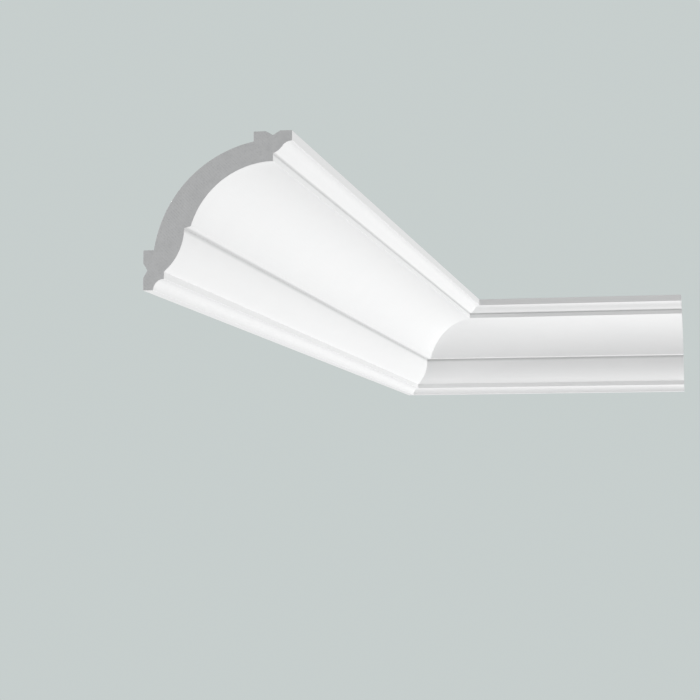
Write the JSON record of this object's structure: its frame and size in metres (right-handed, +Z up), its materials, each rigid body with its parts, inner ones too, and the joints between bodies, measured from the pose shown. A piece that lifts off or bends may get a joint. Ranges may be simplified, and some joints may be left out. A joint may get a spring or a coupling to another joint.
{
  "type": "cornice moulding section",
  "caption": "Cove and ovolo cornice moulding turning an inside corner: a long and a short length mitred together, cut square at both ends, hollow behind.",
  "frame": {"origin": "inside corner of the room at the moulding's lower edge, where the planes of the left-hand wall, the right-hand wall and the underside meet", "axes": "+Z up; the left-hand wall is the plane X = 0 and the long length runs along it to -Y; the right-hand wall is the plane Y = 0 and the short length runs along it to +X; the ceiling is Z = 0.1"},
  "size_m": [0.32, 1, 0.1],
  "materials": {
    "primed_moulding": "rigid foam with a smooth satin-matt white primer"
  },
  "bodies": {
    "root": {"left_hand_length": "primed_moulding", "right_hand_length": "primed_moulding"}
  },
  "joints": []
}
